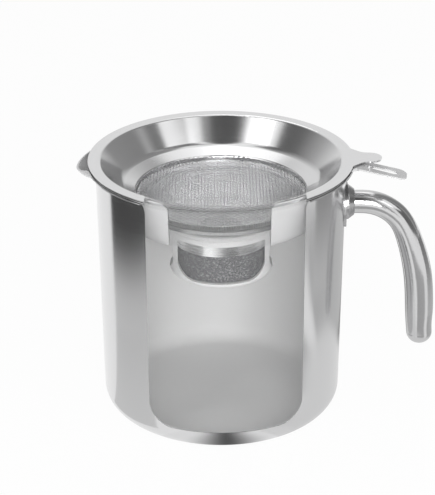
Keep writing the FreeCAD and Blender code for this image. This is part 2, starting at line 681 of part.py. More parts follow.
# ---- lid -------------------------------------------------------------------------------------------
def lid_parts():
    """Lid pieces in the closed place."""
    top_line = [
        (SCREW_HOLE_R, LID_FLOOR_Z, 0.0),
        (LID_FLOOR_R, LID_FLOOR_Z, LID_FLOOR_BEND),
        (LID_MOUTH_R, LID_TOP, LID_FLANGE_BEND),
        (LID_FLANGE_R, LID_TOP, 0.0),
    ]
    dish = sheet_ring(top_line, -SHEET, round_end=True)
    tab = plate([
        (-LID_TAB_ROOT, -LID_TAB_ROOT_HALF, 0.0),
        (-LID_TAB_TIP, 0.0, LID_TAB_TIP_ROUND),
        (-LID_TAB_ROOT, LID_TAB_ROOT_HALF, 0.0),
    ], LID_TOP - SHEET, LID_TOP)

    foot = LID_FLOOR_Z
    knob = turned([(SCREW_R, foot, 0.0)] + [(r, foot + z, bend) for r, z, bend in KNOB_OUTLINE] + [
        (0.0, foot + KNOB_HEIGHT, 0.0),
        (0.0, foot + SCREW_DEPTH, 0.0),
        (SCREW_R, foot + SCREW_DEPTH, 0.0),
    ])
    underside = LID_FLOOR_Z - SHEET
    washer = turned([
        (SCREW_HOLE_R, underside - WASHER, 0.0),
        (WASHER_R, underside - WASHER, WASHER_ROUND),
        (WASHER_R, underside, 0.0),
        (SCREW_HOLE_R, underside, 0.0),
    ])
    seat = underside - WASHER
    screw = turned([
        (0.0, seat - SCREW_HEAD, 0.0),
        (SCREW_HEAD_R, seat - SCREW_HEAD, SCREW_HEAD_ROUND),
        (SCREW_HEAD_R, seat, 0.0),
        (SCREW_R, seat, 0.0),
        (SCREW_R, foot + SCREW_DEPTH, 0.0),
        (0.0, foot + SCREW_DEPTH, 0.0),
    ])
    for turn in (0.0, 90.0):
        corner = FreeCAD.Vector(-CROSS_LENGTH / 2, -CROSS_WIDTH / 2, seat - SCREW_HEAD)
        cross = Part.makeBox(CROSS_LENGTH, CROSS_WIDTH, CROSS_DEPTH, corner)
        screw = screw.cut(about_z(cross, turn))
    return {
        "lid_dish": one_solid(dish.fuse(tab)),
        "lid_knob": knob,
        "knob_washer": washer,
        "knob_screw": one_solid(screw),
    }


def parked(shape):
    """Turn a closed lid piece over onto its knob behind the pot."""
    knob_top = LID_FLOOR_Z + KNOB_HEIGHT
    axis = FreeCAD.Vector(0, PARK_DISTANCE / 2, knob_top / 2)
    laid = shape.copy()
    laid.rotate(axis, FreeCAD.Vector(1, 0, 0), 180)
    return laid


def all_parts():
    parts = {}
    for group in (pot_parts, handle_parts, funnel_parts, cup_parts, cartridge_parts, tray_parts):
        parts.update(group())
    parts.update({name: parked(shape) for name, shape in lid_parts().items()})
    return parts


os.makedirs("parts", exist_ok=True)
for name, shape in all_parts().items():
    if not shape.isValid():
        raise RuntimeError("%s is not a valid solid" % name)
    shape.exportStep("parts/%s.step" % name)
    box = shape.optimalBoundingBox(False, False)
    print("%-26s %9.0f mm3  x %7.2f %7.2f  y %7.2f %7.2f  z %7.2f %7.2f" % (
        name, shape.Volume, box.XMin, box.XMax, box.YMin, box.YMax, box.ZMin, box.ZMax))
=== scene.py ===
import math
import random

import bmesh
import bpy
from bpy.props import FloatProperty, FloatVectorProperty, IntProperty, PointerProperty
from mathutils import Matrix, Vector


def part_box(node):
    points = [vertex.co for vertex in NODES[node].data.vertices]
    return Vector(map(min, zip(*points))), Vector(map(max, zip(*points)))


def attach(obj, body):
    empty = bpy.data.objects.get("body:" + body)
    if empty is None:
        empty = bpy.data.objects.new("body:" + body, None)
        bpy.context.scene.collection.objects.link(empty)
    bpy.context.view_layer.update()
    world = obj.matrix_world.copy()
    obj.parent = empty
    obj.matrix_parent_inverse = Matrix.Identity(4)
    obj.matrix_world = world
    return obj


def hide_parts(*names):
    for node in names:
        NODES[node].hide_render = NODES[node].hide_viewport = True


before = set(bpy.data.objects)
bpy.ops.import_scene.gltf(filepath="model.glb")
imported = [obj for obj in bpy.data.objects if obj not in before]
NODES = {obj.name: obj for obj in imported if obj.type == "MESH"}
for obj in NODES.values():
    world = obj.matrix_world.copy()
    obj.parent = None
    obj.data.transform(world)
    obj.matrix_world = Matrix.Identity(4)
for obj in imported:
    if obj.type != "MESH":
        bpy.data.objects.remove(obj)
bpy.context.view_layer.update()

bl_info = {
    "name": "Bacon Grease Container",
    "version": (1, 0, 0),
    "blender": (4, 5, 0),
    "location": "View3D > Sidebar > Grease Pot",
    "description": "Steel grease pot with funnel, strainer tray, filter cup and lid",
    "category": "Add Mesh",
}

MESH_LOW, MESH_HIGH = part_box("tray_mesh")
KNOB_LOW, KNOB_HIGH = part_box("lid_knob")
LID_CENTRE = (KNOB_LOW + KNOB_HIGH) / 2
COLLAR_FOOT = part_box("tray_body")[0].z
ORIGIN = (0, 0, 0)
NEAR = 1e-5                 # points closer than this lie on the same surface

# The pot's skin, where its finish changes from satin to matt. Metres.
BASE_R = 0.0635             # outside of the wall at the base
RIM_R = 0.0650              # outside of the wall under the lip
RIM_Z = 0.1362
CORNER_R = 0.010            # outside of the rounded bottom corner
HALF_SHEET = 0.0005         # the finish changes inside the sheet
FLOOR_Z = 0.0006
INSIDE_TOP = 0.1355
SPOUT_ROOT_X = -0.0655
SPOUT_FOOT_Z = 0.1285
SPOUT_DULLNESS = 0.55       # the spout's share of the inside's dullness

# Painted shade: dark lines where shade falls in the joints between the pot's lip and the flanges.
# Metres.
SHADE_LINE_TONE = (0.012, 0.012, 0.012)
LIP_LINE = (0.1360, 0.1366)             # lowest and highest point
LIP_LINE_R = RIM_R + 0.0012
LIP_LINE_END_X = -0.066                 # it stops at the spout
FLANGE_LINE_R = (0.0679, 0.0692)        # inner and outer end
FUNNEL_LINE = (0.1372, 0.1374)
TRAY_LINE = (0.1380, 0.1383)
FUNNEL_MATT_TOP = 0.1355
TAB_ROOT_X = 0.0695

# Cartridge, wire cloth and its ring. Metres.
BAND_TONE = (0.90, 0.90, 0.905)
DARK_REFLECTION_X = 0.0045        # painted reflection: dark streak down the front of the cartridge's band
DARK_REFLECTION_FADE = (0.001, 0.011)
SLEEVE_EDGE = 0.0001        # the sleeve's rim under the band
SLEEVE_INSET = 0.0006       # the sleeve inside the band stands this much back
SLEEVE_SKIN = 0.0002        # its grain lies this near to the outside
WIRE_SWAY = 0.95            # rise and fall of a wire, as a share of its radius
RIB_COLUMNS = 4             # columns of faces to one rib and its groove
RIB_TONE = (0.86, 0.86, 0.86)
RIB_TONE_FOOT = COLLAR_FOOT + 0.0003

# Stage. Metres.
FLOOR_GLOW = 0.95           # share of even white in the floor, as seen and reflected
WORLD_FILL = 0.45           # brightness of the world for diffuse light
LAMP_AIM = (0.0, 0.0, 0.07)         # middle of the pot
UPRIGHT_FOOT = 0.001                # upright flags start this high over the floor
FLAT_HEIGHT = 0.0003                # flat flags lie this high over the floor
FAN_FROM_POT = (0.078, 0.112)       # the handle's flag fades in between these radii
FAN_FROM_HANDLE = (0.038, 0.066)
FAN_MIDDLE = 0.80


# ---- node trees ------------------------------------------------------------------
class Nodes:
    """A node tree and the few calls that the finishes and the world share."""

    def __init__(self, tree):
        self.tree = tree

    def node(self, kind, **settings):
        made = self.tree.nodes.new(kind)
        for key, value in settings.items():
            setattr(made, key, value)
        return made

    def join(self, source, target):
        self.tree.links.new(source, target)

    def put(self, socket, value):
        if isinstance(value, bpy.types.NodeSocket):
            self.join(value, socket)
        else:
            socket.default_value = value

    def math(self, operation, a, b=0.0):
        made = self.node("ShaderNodeMath", operation=operation)
        self.put(made.inputs[0], a)
        self.put(made.inputs[1], b)
        return made.outputs[0]

    def plus(self, a, b):
        return self.math("ADD", a, b)

    def minus(self, a, b):
        return self.math("SUBTRACT", a, b)

    def times(self, a, b):
        return self.math("MULTIPLY", a, b)

    def over(self, value, bound):
        """1 where the value is over a bound, else 0."""
        return self.math("GREATER_THAN", value, bound)

    def under(self, value, bound):
        """1 where the value is under a bound, else 0."""
        return self.math("LESS_THAN", value, bound)

    def between(self, value, low, high):
        """1 where the value lies between two bounds, else 0."""
        return self.times(self.over(value, low), self.under(value, high))

    def reach(self, x, y):
        """Length of the line that x and y span."""
        return self.math("SQRT", self.plus(self.times(x, x), self.times(y, y)))

    def split(self, vector):
        """The x, y and z of a vector."""
        made = self.node("ShaderNodeSeparateXYZ")
        self.join(vector, made.inputs[0])
        return made.outputs

    def mix(self, share, first, second):
        """Colour that runs from the first to the second."""
        made = self.node("ShaderNodeMix", data_type="RGBA")
        for name, value in (("Factor", share), ("A", first), ("B", second)):
            self.put(made.inputs[name], value)
        return made.outputs["Result"]

    def compass(self, x, y, stops):
        """Grey by direction, from (degrees from the front, brightness) pairs."""
        turn = self.math("ARCTAN2", x, self.times(y, -1.0))
        ramp = self.node("ShaderNodeValToRGB")
        self.join(self.plus(self.math("DIVIDE", turn, 2 * math.pi), 0.5), ramp.inputs[0])
        elements = ramp.color_ramp.elements
        while len(elements) < len(stops):
            elements.new(0.5)
        for element, (degrees, level) in zip(elements, stops):
            element.position = (degrees + 180.0) / 360.0
            element.color = grey(level)
        return ramp.outputs[0]


class Finish(Nodes):
    """A material, its shader and the patterns that the finishes are made of."""

    def __init__(self, name):
        self.material = bpy.data.materials.new(name)
        self.material.use_nodes = True
        super().__init__(self.material.node_tree)
        self.shader = self.tree.nodes["Principled BSDF"]
        self.output = self.tree.nodes["Material Output"]
        self.place = self.node("ShaderNodeTexCoord").outputs["Object"]

    def feed(self, name, source):
        """Join a pattern to a socket of the shader."""
        self.join(source, self.shader.inputs[name])

    def fix(self, name, value):
        """Give a socket of the shader one value for the whole surface."""
        self.shader.inputs[name].default_value = value

    def fed(self, name):
        """The pattern that is joined to a socket of the shader."""
        return self.shader.inputs[name].links[0].from_socket

    def centred(self, centre):
        """Object coordinates measured from a centre."""
        mapping = self.node("ShaderNodeMapping")
        mapping.inputs["Location"].default_value = [-c for c in centre]
        self.join(self.place, mapping.inputs["Vector"])
        return mapping.outputs[0]

    def turned_grain(self, centre, across, along):
        """Coordinates stretched round the vertical axis, as polishing marks run."""
        x, y, z = self.split(self.centred(centre))
        merge = self.node("ShaderNodeCombineXYZ")
        self.join(self.times(x, along), merge.inputs[0])
        self.join(self.times(y, along), merge.inputs[1])
        self.join(self.times(self.plus(self.reach(x, y), z), across), merge.inputs[2])
        return merge.outputs[0]

    def axis_and_radius(self):
        """Object coordinates x, y, z and the distance from the pot's axis."""
        x, y, z = self.split(self.place)
        return x, y, z, self.reach(x, y)

    def recolour(self, mask, tone):
        """Put another colour where the mask is 1."""
        self.feed("Base Color", self.mix(mask, self.fed("Base Color"), (*tone, 1.0)))

    def dull(self, matt, less_metal, rough_mask, more_rough):
        """Take metal away where matt is 1, and add roughness where rough_mask is."""
        self.feed("Metallic", self.minus(1.0, self.times(matt, less_metal)))
        self.feed("Roughness", self.plus(self.fed("Roughness"), self.times(rough_mask, more_rough)))

    def noise(self, vector, scale, detail=3.0, rough=0.55):
        made = self.node("ShaderNodeTexNoise")
        self.put(made.inputs["Vector"], vector)
        made.inputs["Scale"].default_value = scale
        made.inputs["Detail"].default_value = detail
        made.inputs["Roughness"].default_value = rough
        return made.outputs["Fac"]

    def spread(self, value, low, high):
        """Map 0.3..0.7, where most noise lies, to low..high."""
        made = self.node("ShaderNodeMapRange")
        self.put(made.inputs["Value"], value)
        bounds = {"From Min": 0.3, "From Max": 0.7, "To Min": low, "To Max": high}
        for name, number in bounds.items():
            made.inputs[name].default_value = number
        return made.outputs[0]

    def soft_step(self, value, low, high):
        """0 below low, 1 above high and a smooth rise between."""
        made = self.node("ShaderNodeMapRange", interpolation_type="SMOOTHSTEP")
        self.put(made.inputs["Value"], value)
        made.inputs["From Min"].default_value = low
        made.inputs["From Max"].default_value = high
        return made.outputs[0]

    def tint(self, value, dark, light):
        """Colour that runs from dark to light with a value."""
        return self.mix(value, (*dark, 1.0), (*light, 1.0))

    def bump(self, height, strength, distance):
        made = self.node("ShaderNodeBump")
        made.inputs["Strength"].default_value = strength
        made.inputs["Distance"].default_value = distance
        self.join(height, made.inputs["Height"])
        self.feed("Normal", made.outputs[0])


def shade(colour, factor):
    return tuple(min(1.0, c * factor) for c in colour)


def grey(level):
    return (level, level, level, 1.0)


def steel(name, colour, roughness, **traits):
    """Steel of one tone, with the same traits as steel_finish()."""
    return steel_finish(name, colour, roughness, **traits).material


def steel_finish(name, colour, roughness, grain=0.25, anisotropy=0.0, centre=ORIGIN, cloud=0.05):
    """Satin or polished steel with turning marks and a little haze."""
    finish = Finish(name)
    polish = finish.turned_grain(centre, across=2600.0, along=26.0)
    marks = finish.noise(polish, 1.0, 4.0, 0.6)
    haze = finish.noise(finish.place, 34.0, 2.0)
    both = finish.plus(finish.times(marks, 0.7), finish.times(haze, 0.3))
    dark, light = shade(colour, 1.0 - cloud), shade(colour, 1.0 + cloud)
    finish.feed("Base Color", finish.tint(both, dark, light))
    finish.feed("Roughness", finish.spread(both, roughness * 0.8, roughness * 1.25))
    finish.fix("Metallic", 1.0)
    finish.fix("Anisotropic", anisotropy)
    finish.fix("Anisotropic Rotation", 0.25)
    if anisotropy:
        tangent = finish.node("ShaderNodeTangent", direction_type="RADIAL", axis="Z")
        finish.feed("Tangent", tangent.outputs[0])
    finish.bump(marks, grain, 0.00002)
    return finish


def pot_steel(name, outside, inside):
    """Pot: satin steel outside, a pale matt finish inside, a painted shade line under the lip."""
    finish = steel_finish(name, outside, 0.15, grain=0.04, anisotropy=0.7, cloud=0.02)
    x, _, z, radius = finish.axis_and_radius()
    lean = (RIM_R - BASE_R) / RIM_Z
    skin = finish.plus(finish.times(z, lean), BASE_R - HALF_SHEET)
    inner = finish.times(finish.under(radius, skin), finish.between(z, FLOOR_Z, INSIDE_TOP))
    corner_x = finish.minus(radius, BASE_R - CORNER_R)
    corner_z = finish.minus(CORNER_R, z)
    on_corner = finish.times(finish.over(corner_x, 0.0), finish.over(corner_z, 0.0))
    bend = finish.over(finish.reach(corner_x, corner_z), CORNER_R - HALF_SHEET)
    outer_bend = finish.times(on_corner, bend)
    inner = finish.times(inner, finish.minus(1.0, outer_bend))
    spout = finish.times(finish.under(x, SPOUT_ROOT_X), finish.over(z, SPOUT_FOOT_Z))
    matt = finish.math("MAXIMUM", inner, finish.times(spout, SPOUT_DULLNESS))
    finish.recolour(inner, inside)
    # Painted shade: a dark band just under the lip, where shade falls in the crevice between lip
    # and wall.
    lip_shade = finish.times(finish.between(z, *LIP_LINE), finish.over(radius, LIP_LINE_R))
    finish.recolour(finish.times(lip_shade, finish.over(x, LIP_LINE_END_X)), SHADE_LINE_TONE)
    finish.dull(matt, less_metal=0.95, rough_mask=matt, more_rough=0.45)
    return finish.material


def stacked_sheet(name, colour, line, matt_below=0.0):
    """Bright sheet with a painted shade line along the foot of its flange's edge, where shade falls
    between the stacked flanges.

    With matt_below, its wall is matt up to that height and its tab is a shade darker.
    """
    finish = steel_finish(name, colour, 0.16, grain=0.12, anisotropy=0.5)
    x, _, z, radius = finish.axis_and_radius()
    # Painted shade: a dark line at the foot of the flange's edge, where shade falls between the
    # stacked flanges.
    edge = finish.times(finish.between(z, *line), finish.between(radius, *FLANGE_LINE_R))
    finish.recolour(edge, SHADE_LINE_TONE)
    if matt_below:
        tab = finish.over(x, TAB_ROOT_X)
        matt = finish.under(z, matt_below)
        finish.recolour(tab, shade(colour, 0.72))
        finish.recolour(matt, shade(colour, 0.80))
        rough = finish.math("MAXIMUM", matt, finish.times(tab, 0.6))
        finish.dull(matt, less_metal=0.75, rough_mask=rough, more_rough=0.35)
    return finish.material


def band_with_painted_reflection(name, colour):
    """Satin band of the cartridge, with a painted reflection: a dark streak down its front."""
    finish = steel_finish(name, colour, 0.26, grain=0.10, cloud=0.04)
    x, y, _, _ = finish.axis_and_radius()
    # Painted reflection: a dark streak on the band's front side, standing in for the dark
    # surroundings it mirrors.
    away = finish.math("ABSOLUTE", finish.minus(x, DARK_REFLECTION_X))
    painted_reflection = finish.minus(1.0, finish.soft_step(away, *DARK_REFLECTION_FADE))
    finish.recolour(finish.times(painted_reflection, finish.under(y, 0.0)), shade(colour, 0.22))
    return finish.material


def satin(name, colour, roughness):
    """Even satin steel with a very fine grain."""
    finish = Finish(name)
    grain = finish.noise(finish.place, 1500.0, 3.0, 0.6)
    haze = finish.noise(finish.place, 45.0, 2.0)
    finish.feed("Base Color", finish.tint(haze, shade(colour, 0.96), shade(colour, 1.04)))
    finish.feed("Roughness", finish.spread(grain, roughness * 0.85, roughness * 1.2))
    finish.fix("Metallic", 1.0)
    finish.bump(grain, 0.10, 0.00002)
    return finish.material


def clear_front(name, colour):
    """Clear section with a faint milkiness and wipe marks."""
    finish = Finish(name)
    smear = finish.noise(finish.place, 18.0, 3.0)
    finish.feed("Roughness", finish.spread(smear, 0.02, 0.09))
    finish.fix("Base Color", (*colour, 1.0))
    finish.fix("Alpha", 0.04)
    return finish.material


def white_plastic(name, colour):
    """Injection-moulded plastic, faintly uneven."""
    finish = Finish(name)
    cloud = finish.noise(finish.place, 60.0, 3.0)
    skin = finish.noise(finish.place, 1400.0, 2.0)
    finish.feed("Base Color", finish.tint(cloud, shade(colour, 0.96), shade(colour, 1.02)))
    finish.feed("Roughness", finish.spread(skin, 0.26, 0.38))
    finish.fix("Subsurface Weight", 0.15)
    finish.fix("Subsurface Radius", (0.004, 0.004, 0.004))
    finish.fix("Subsurface Scale", 1.0)
    finish.bump(skin, 0.12, 0.00003)
    return finish.material


def felt(name, dark, light):
    """Dark carbon felt with pale flecks."""
    finish = Finish(name)
    cell = finish.node("ShaderNodeTexVoronoi")
    cell.inputs["Scale"].default_value = 2000.0
    finish.join(finish.place, cell.inputs["Vector"])
    tuft = finish.noise(finish.place, 900.0, 4.0, 0.7)
    channels = finish.node("ShaderNodeSeparateColor")
    finish.join(cell.outputs["Color"], channels.inputs[0])
    fleck = finish.over(channels.outputs[0], 0.86)
    amount = finish.plus(finish.times(fleck, 0.55), finish.times(tuft, 0.35))
    finish.feed("Base Color", finish.tint(amount, dark, light))
    finish.fix("Roughness", 0.9)
    finish.bump(tuft, 0.6, 0.0002)
    return finish.material


# ---- settings ------------------------------------------------------------------------
def length(name, description, default, **limits):
    return FloatProperty(name=name, description=description, default=default,
                         subtype="DISTANCE", unit="LENGTH", precision=5, **limits)


def colour(name, description, default):
    return FloatVectorProperty(name=name, description=description, default=default,
                               subtype="COLOR", size=3, min=0.0, max=1.0)


class GreaseFinishSettings(bpy.types.PropertyGroup):
    pot_colour: colour("Pot", "Satin steel of the pot's wall", (0.70, 0.70, 0.705))
    inside_colour: colour("Pot inside", "Pale matt steel inside the pot", (0.75, 0.75, 0.75))
    sheet_colour: colour("Funnel, tray and lid", "Bright steel of the thin parts",
                         (0.78, 0.78, 0.785))
    handle_colour: colour("Handle", "Satin steel of the handle", (0.66, 0.66, 0.665))
    knob_colour: colour("Knob", "Polished steel of the knob", (0.80, 0.80, 0.81))
    front_colour: colour("Front section", "Tint of the see-through section", (0.93, 0.94, 0.945))
    wire_colour: colour("Wire", "Wires of the tray's cloth", (0.62, 0.62, 0.63))
    plastic_colour: colour("Filter cup", "White plastic", (0.92, 0.92, 0.92))
    felt_dark: colour("Felt", "Dark ground of the filter sleeve", (0.035, 0.035, 0.038))
    felt_light: colour("Felt flecks", "Pale flecks of the filter sleeve", (0.36, 0.36, 0.37))


class GreaseClothSettings(bpy.types.PropertyGroup):
    pitch: length("Pitch", "Distance between neighbouring wires", 0.0017)
    wire_radius: length("Wire radius", "Radius of one wire", 0.00024)
    ring_inside: length("Ring inside", "Inner radius of the ribbed ring", 0.0424)
    ring_edge: length("Ring edge", "Chamfer along the ring's edges", 0.0006)
    ribs: IntProperty(name="Ribs", description="Ribs round the ring", default=218)
    rib_depth: length("Rib depth", "Depth of the groove between two ribs", 0.0005)


class GreaseFeltSettings(bpy.types.PropertyGroup):
    bore: length("Bore", "Inner radius of the sleeve", 0.011)
    rows: IntProperty(name="Rows", description="Grain rows up the sleeve", default=40)
    columns: IntProperty(name="Columns", description="Grain columns round the sleeve", default=400)
    depth: length("Grain depth", "Depth of the sleeve's grain", 0.00028)


class GreaseStageSettings(bpy.types.PropertyGroup):
    floor_colour: colour("Floor", "Pale floor", (0.93, 0.93, 0.93))
    floor_size: length("Floor size", "Side of the square floor", 6.0)
    camera_side: length("Camera side", "Camera's place along X", -0.00193)
    camera_back: length("Camera distance", "Camera's distance in front of the pot's axis", 0.8216)
    camera_height: length("Camera height", "Camera's height over the floor", 0.4700)
    camera_pitch: FloatProperty(name="Camera pitch", description="Angle below level",
                                default=math.radians(24.97), subtype="ANGLE", unit="ROTATION")
    camera_roll: FloatProperty(name="Camera roll", description="Turn about the line of sight",
                               default=math.radians(-0.26), subtype="ANGLE", unit="ROTATION")
    camera_lens: FloatProperty(name="Lens", description="Focal length on a 36 mm sensor",
                               default=141.52)


def settings(name):
    return getattr(bpy.context.scene, name)


# ---- operators -------------------------------------------------------------------------
def add_object(name, data):
    made = bpy.data.objects.new(name, data)
    bpy.context.scene.collection.objects.link(made)
    return made


class GREASE_OT_stage(bpy.types.Operator):
    """Camera, floor, world and lamps"""
    bl_idname = "grease.stage"
    bl_label = "Stage"

    def execute(self, context):
        stage = settings("grease_stage")
        self.camera(stage)
        self.floor(stage)
        self.world()
        self.lamps()
        self.cards()
        context.scene.view_settings.view_transform = "Standard"
        return {"FINISHED"}

    def camera(self, stage):
        data = bpy.data.cameras.new("camera")
        data.sensor_fit = "HORIZONTAL"
        data.sensor_width = 36.0
        data.lens = stage.camera_lens
        data.clip_end = 20.0
        camera = add_object("camera", data)
        tilt = Matrix.Rotation(math.pi / 2 - stage.camera_pitch, 4, "X")
        roll = Matrix.Rotation(stage.camera_roll, 4, "Z")
        place = Matrix.Translation((stage.camera_side, -stage.camera_back, stage.camera_height))
        camera.matrix_world = place @ tilt @ roll
        bpy.context.scene.camera = camera

    def floor(self, stage):
        mesh = bpy.data.meshes.new("floor")
        shape = bmesh.new()
        bmesh.ops.create_grid(shape, x_segments=2, y_segments=2, size=stage.floor_size / 2)
        shape.to_mesh(mesh)
        shape.free()
        floor = add_object("floor", mesh)
        finish = Finish("floor")
        finish.fix("Base Color", (*stage.floor_colour, 1.0))
        finish.fix("Roughness", 0.7)
        glow = finish.node("ShaderNodeEmission")
        glow.inputs["Color"].default_value = grey(1.0)
        ray = finish.node("ShaderNodeLightPath")
        seen = finish.math("MAXIMUM", ray.outputs["Is Camera Ray"],
                           finish.math("MAXIMUM", ray.outputs["Is Glossy Ray"],
                                       ray.outputs["Is Transmission Ray"]))
        blend = finish.node("ShaderNodeMixShader")
        finish.join(finish.times(seen, FLOOR_GLOW), blend.inputs[0])
        finish.join(finish.shader.outputs[0], blend.inputs[1])
        finish.join(glow.outputs[0], blend.inputs[2])
        finish.join(blend.outputs[0], finish.output.inputs["Surface"])
        mesh.materials.append(finish.material)

    def world(self):
        """Even light, with softboxes and flags round the horizon for reflections."""
        world = bpy.data.worlds.new("studio")
        bpy.context.scene.world = world
        world.use_nodes = True
        nodes = Nodes(world.node_tree)
        background = world.node_tree.nodes["Background"]
        x, y, _ = nodes.split(nodes.node("ShaderNodeTexCoord").outputs["Generated"])
        around = nodes.compass(x, y, (
            (-180, 0.86), (-150, 0.80), (-128, 0.45), (-102, 0.16), (-79, 0.09), (-76.5, 1.0),
            (-38, 1.0), (-33, 0.20), (-25, 0.08), (12, 0.09), (15, 0.22), (26, 0.36), (29, 1.0),
            (45, 1.0), (47.5, 0.13), (90, 0.20), (97, 0.50), (104, 0.25), (140, 0.30), (160, 0.80),
            (180, 0.86),
        ))
        ray = nodes.node("ShaderNodeLightPath").outputs
        seen = nodes.math("MAXIMUM", ray["Is Camera Ray"], ray["Is Transmission Ray"])
        plain = nodes.mix(seen, grey(WORLD_FILL), grey(1.0))
        nodes.join(nodes.mix(ray["Is Glossy Ray"], plain, around), background.inputs["Color"])
        background.inputs["Strength"].default_value = 1.0

    def cards(self):
        """Flags that only reflections see: upright ones and flat ones on the floor."""
        self.upright("flag_left", (-0.160, -0.088), (-0.160, 0.030), (0.012, 0.066, 0.100),
                     0.64, 0.07)
        self.upright("flag_right", (0.200, -0.030), (0.200, 0.060), (0.0, 0.090, 0.090), 0.60, 0.25)
        self.flat("flag_left_foot",
                  ((-0.042, -0.058), (-0.160, -0.088), (-0.160, 0.030), (-0.066, -0.018)),
                  (-0.160, 0, 0), 0.110, 0.64, 0.72)
        self.flat("flag_foot",
                  ((-0.032, -0.125), (0.044, -0.125), (0.044, -0.050), (-0.032, -0.050)),
                  (0.003, 0, 0), 0.026, 0.12, 0.95)
        self.fan("flag_handle", (0.100, 0.0), 0.24, 0.030)

    def card(self, name, shape, glow_of):
        """A flag from a bmesh, with the tone that glow_of makes for it."""
        mesh = bpy.data.meshes.new(name)
        shape.to_mesh(mesh)
        shape.free()
        card = add_object(name, mesh)
        finish = Finish(name)
        glow = finish.node("ShaderNodeEmission")
        finish.join(glow_of(finish), glow.inputs["Color"])
        finish.join(glow.outputs[0], finish.output.inputs["Surface"])
        mesh.materials.append(finish.material)
        card.visible_camera = False
        card.visible_diffuse = False
        card.visible_shadow = False
        card.visible_transmission = False

    def upright(self, name, start, end, heights, low, high):
        """Upright flag whose tone runs between two heights; the third is its top."""
        shape = bmesh.new()
        foot = [shape.verts.new((*point, UPRIGHT_FOOT)) for point in (start, end)]
        edge = shape.edges.new(foot)
        raised = bmesh.ops.extrude_edge_only(shape, edges=[edge])["geom"]
        top = [v for v in raised if isinstance(v, bmesh.types.BMVert)]
        bmesh.ops.translate(shape, verts=top, vec=(0, 0, heights[2]))

        def glow(finish):
            soft = finish.soft_step(finish.axis_and_radius()[2], heights[0], heights[1])
            return finish.tint(soft, (low,) * 3, (high,) * 3)
        self.card(name, shape, glow)

    def flat(self, name, corners, centre, width, near, far):
        """Flat flag whose tone runs sideways, both ways from a centre line."""
        shape = bmesh.new()
        shape.faces.new([shape.verts.new((*corner, FLAT_HEIGHT)) for corner in corners])

        def glow(finish):
            across = finish.split(finish.centred(centre))[0]
            soft = finish.soft_step(finish.math("ABSOLUTE", across), 0.0, width)
            return finish.tint(soft, (near,) * 3, (far,) * 3)
        self.card(name, shape, glow)

    def fan(self, name, centre, radius, start):
        """Flag about the handle, in wedges: degrees from the front, brightness."""
        wedges = (
            (-180, 0.34), (-100, 0.34), (-92, 0.12), (-56, 0.14), (-48, 1.0), (-18, 1.0),
            (-12, 0.45), (42, 0.50), (50, 0.95), (66, 0.95), (74, 0.50), (120, 0.58), (180, 0.55),
        )
        shape = bmesh.new()
        bmesh.ops.create_circle(shape, cap_ends=True, segments=72, radius=radius)
        bmesh.ops.translate(shape, verts=shape.verts, vec=(*centre, FLAT_HEIGHT))
        bmesh.ops.bisect_plane(shape, geom=shape.verts[:] + shape.edges[:] + shape.faces[:],
                               plane_co=(start, 0, 0), plane_no=(1, 0, 0), clear_inner=True)

        def glow(finish):
            x, y, _ = finish.split(finish.centred((*centre, 0.0)))
            from_pot = finish.axis_and_radius()[3]
            apart = finish.times(finish.soft_step(from_pot, *FAN_FROM_POT),
                                 finish.soft_step(finish.reach(x, y), *FAN_FROM_HANDLE))
            return finish.mix(apart, grey(FAN_MIDDLE), finish.compass(x, y, wedges))
        self.card(name, shape, glow)

    def lamps(self):
        lamps = (
            ("lamp_left", (-1.0, -0.9, 1.3), 0.9, 3.0),
            ("lamp_right", (1.1, -0.7, 1.2), 0.9, 2.5),
            ("lamp_top", (0.0, 0.5, 1.6), 1.2, 3.0),
            ("lamp_front", (0.1, -1.1, 0.38), 0.5, 8.0),
        )
        for name, place, side, power in lamps:
            data = bpy.data.lights.new(name, "AREA")
            data.size = side
            data.energy = power
            lamp = add_object(name, data)
            lamp.location = place
            aim = Vector(LAMP_AIM) - Vector(place)
            lamp.rotation_euler = aim.to_track_quat("-Z", "Y").to_euler()


def dress(node, material):
    """Give a frame node its finish."""
    slots = NODES[node].data.materials
    slots.clear()
    slots.append(material)


def new_piece(name, shape, material, body, *replaced, smooth=True):
    """Finish a bmesh as a piece that rides on a body and stands for frame nodes."""
    if smooth:
        for face in shape.faces:
            face.smooth = True
    mesh = bpy.data.meshes.new(name)
    shape.to_mesh(mesh)
    shape.free()
    return settle(name, mesh, material, body, *replaced)


def settle(name, mesh, material, body, *replaced):
    """Link a mesh as a piece that rides on a body and stands for frame nodes."""
    mesh.materials.clear()
    mesh.materials.append(material)
    piece = add_object(name, mesh)
    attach(piece, body)
    if replaced:
        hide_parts(*replaced)
    return piece


def spun(profile, steps):
    """Closed bmesh turned about the pot's axis from (radius, height) points in metres."""
    shape = bmesh.new()
    points = [shape.verts.new((r, 0.0, z)) for r, z in profile]
    edges = [shape.edges.new(pair) for pair in zip(points, points[1:] + points[:1])]
    bmesh.ops.spin(shape, geom=points + edges, cent=ORIGIN, axis=(0, 0, 1),
                   angle=2 * math.pi, steps=steps, use_merge=True, use_duplicate=False)
    bmesh.ops.remove_doubles(shape, verts=shape.verts, dist=1e-7)
    bmesh.ops.recalc_face_normals(shape, faces=shape.faces)
    return shape


def push_in(vert, depth):
    """Move a vertex towards the pot's axis."""
    flat = math.hypot(vert.co.x, vert.co.y)
    scale = (flat - depth) / flat
    vert.co.x *= scale
    vert.co.y *= scale


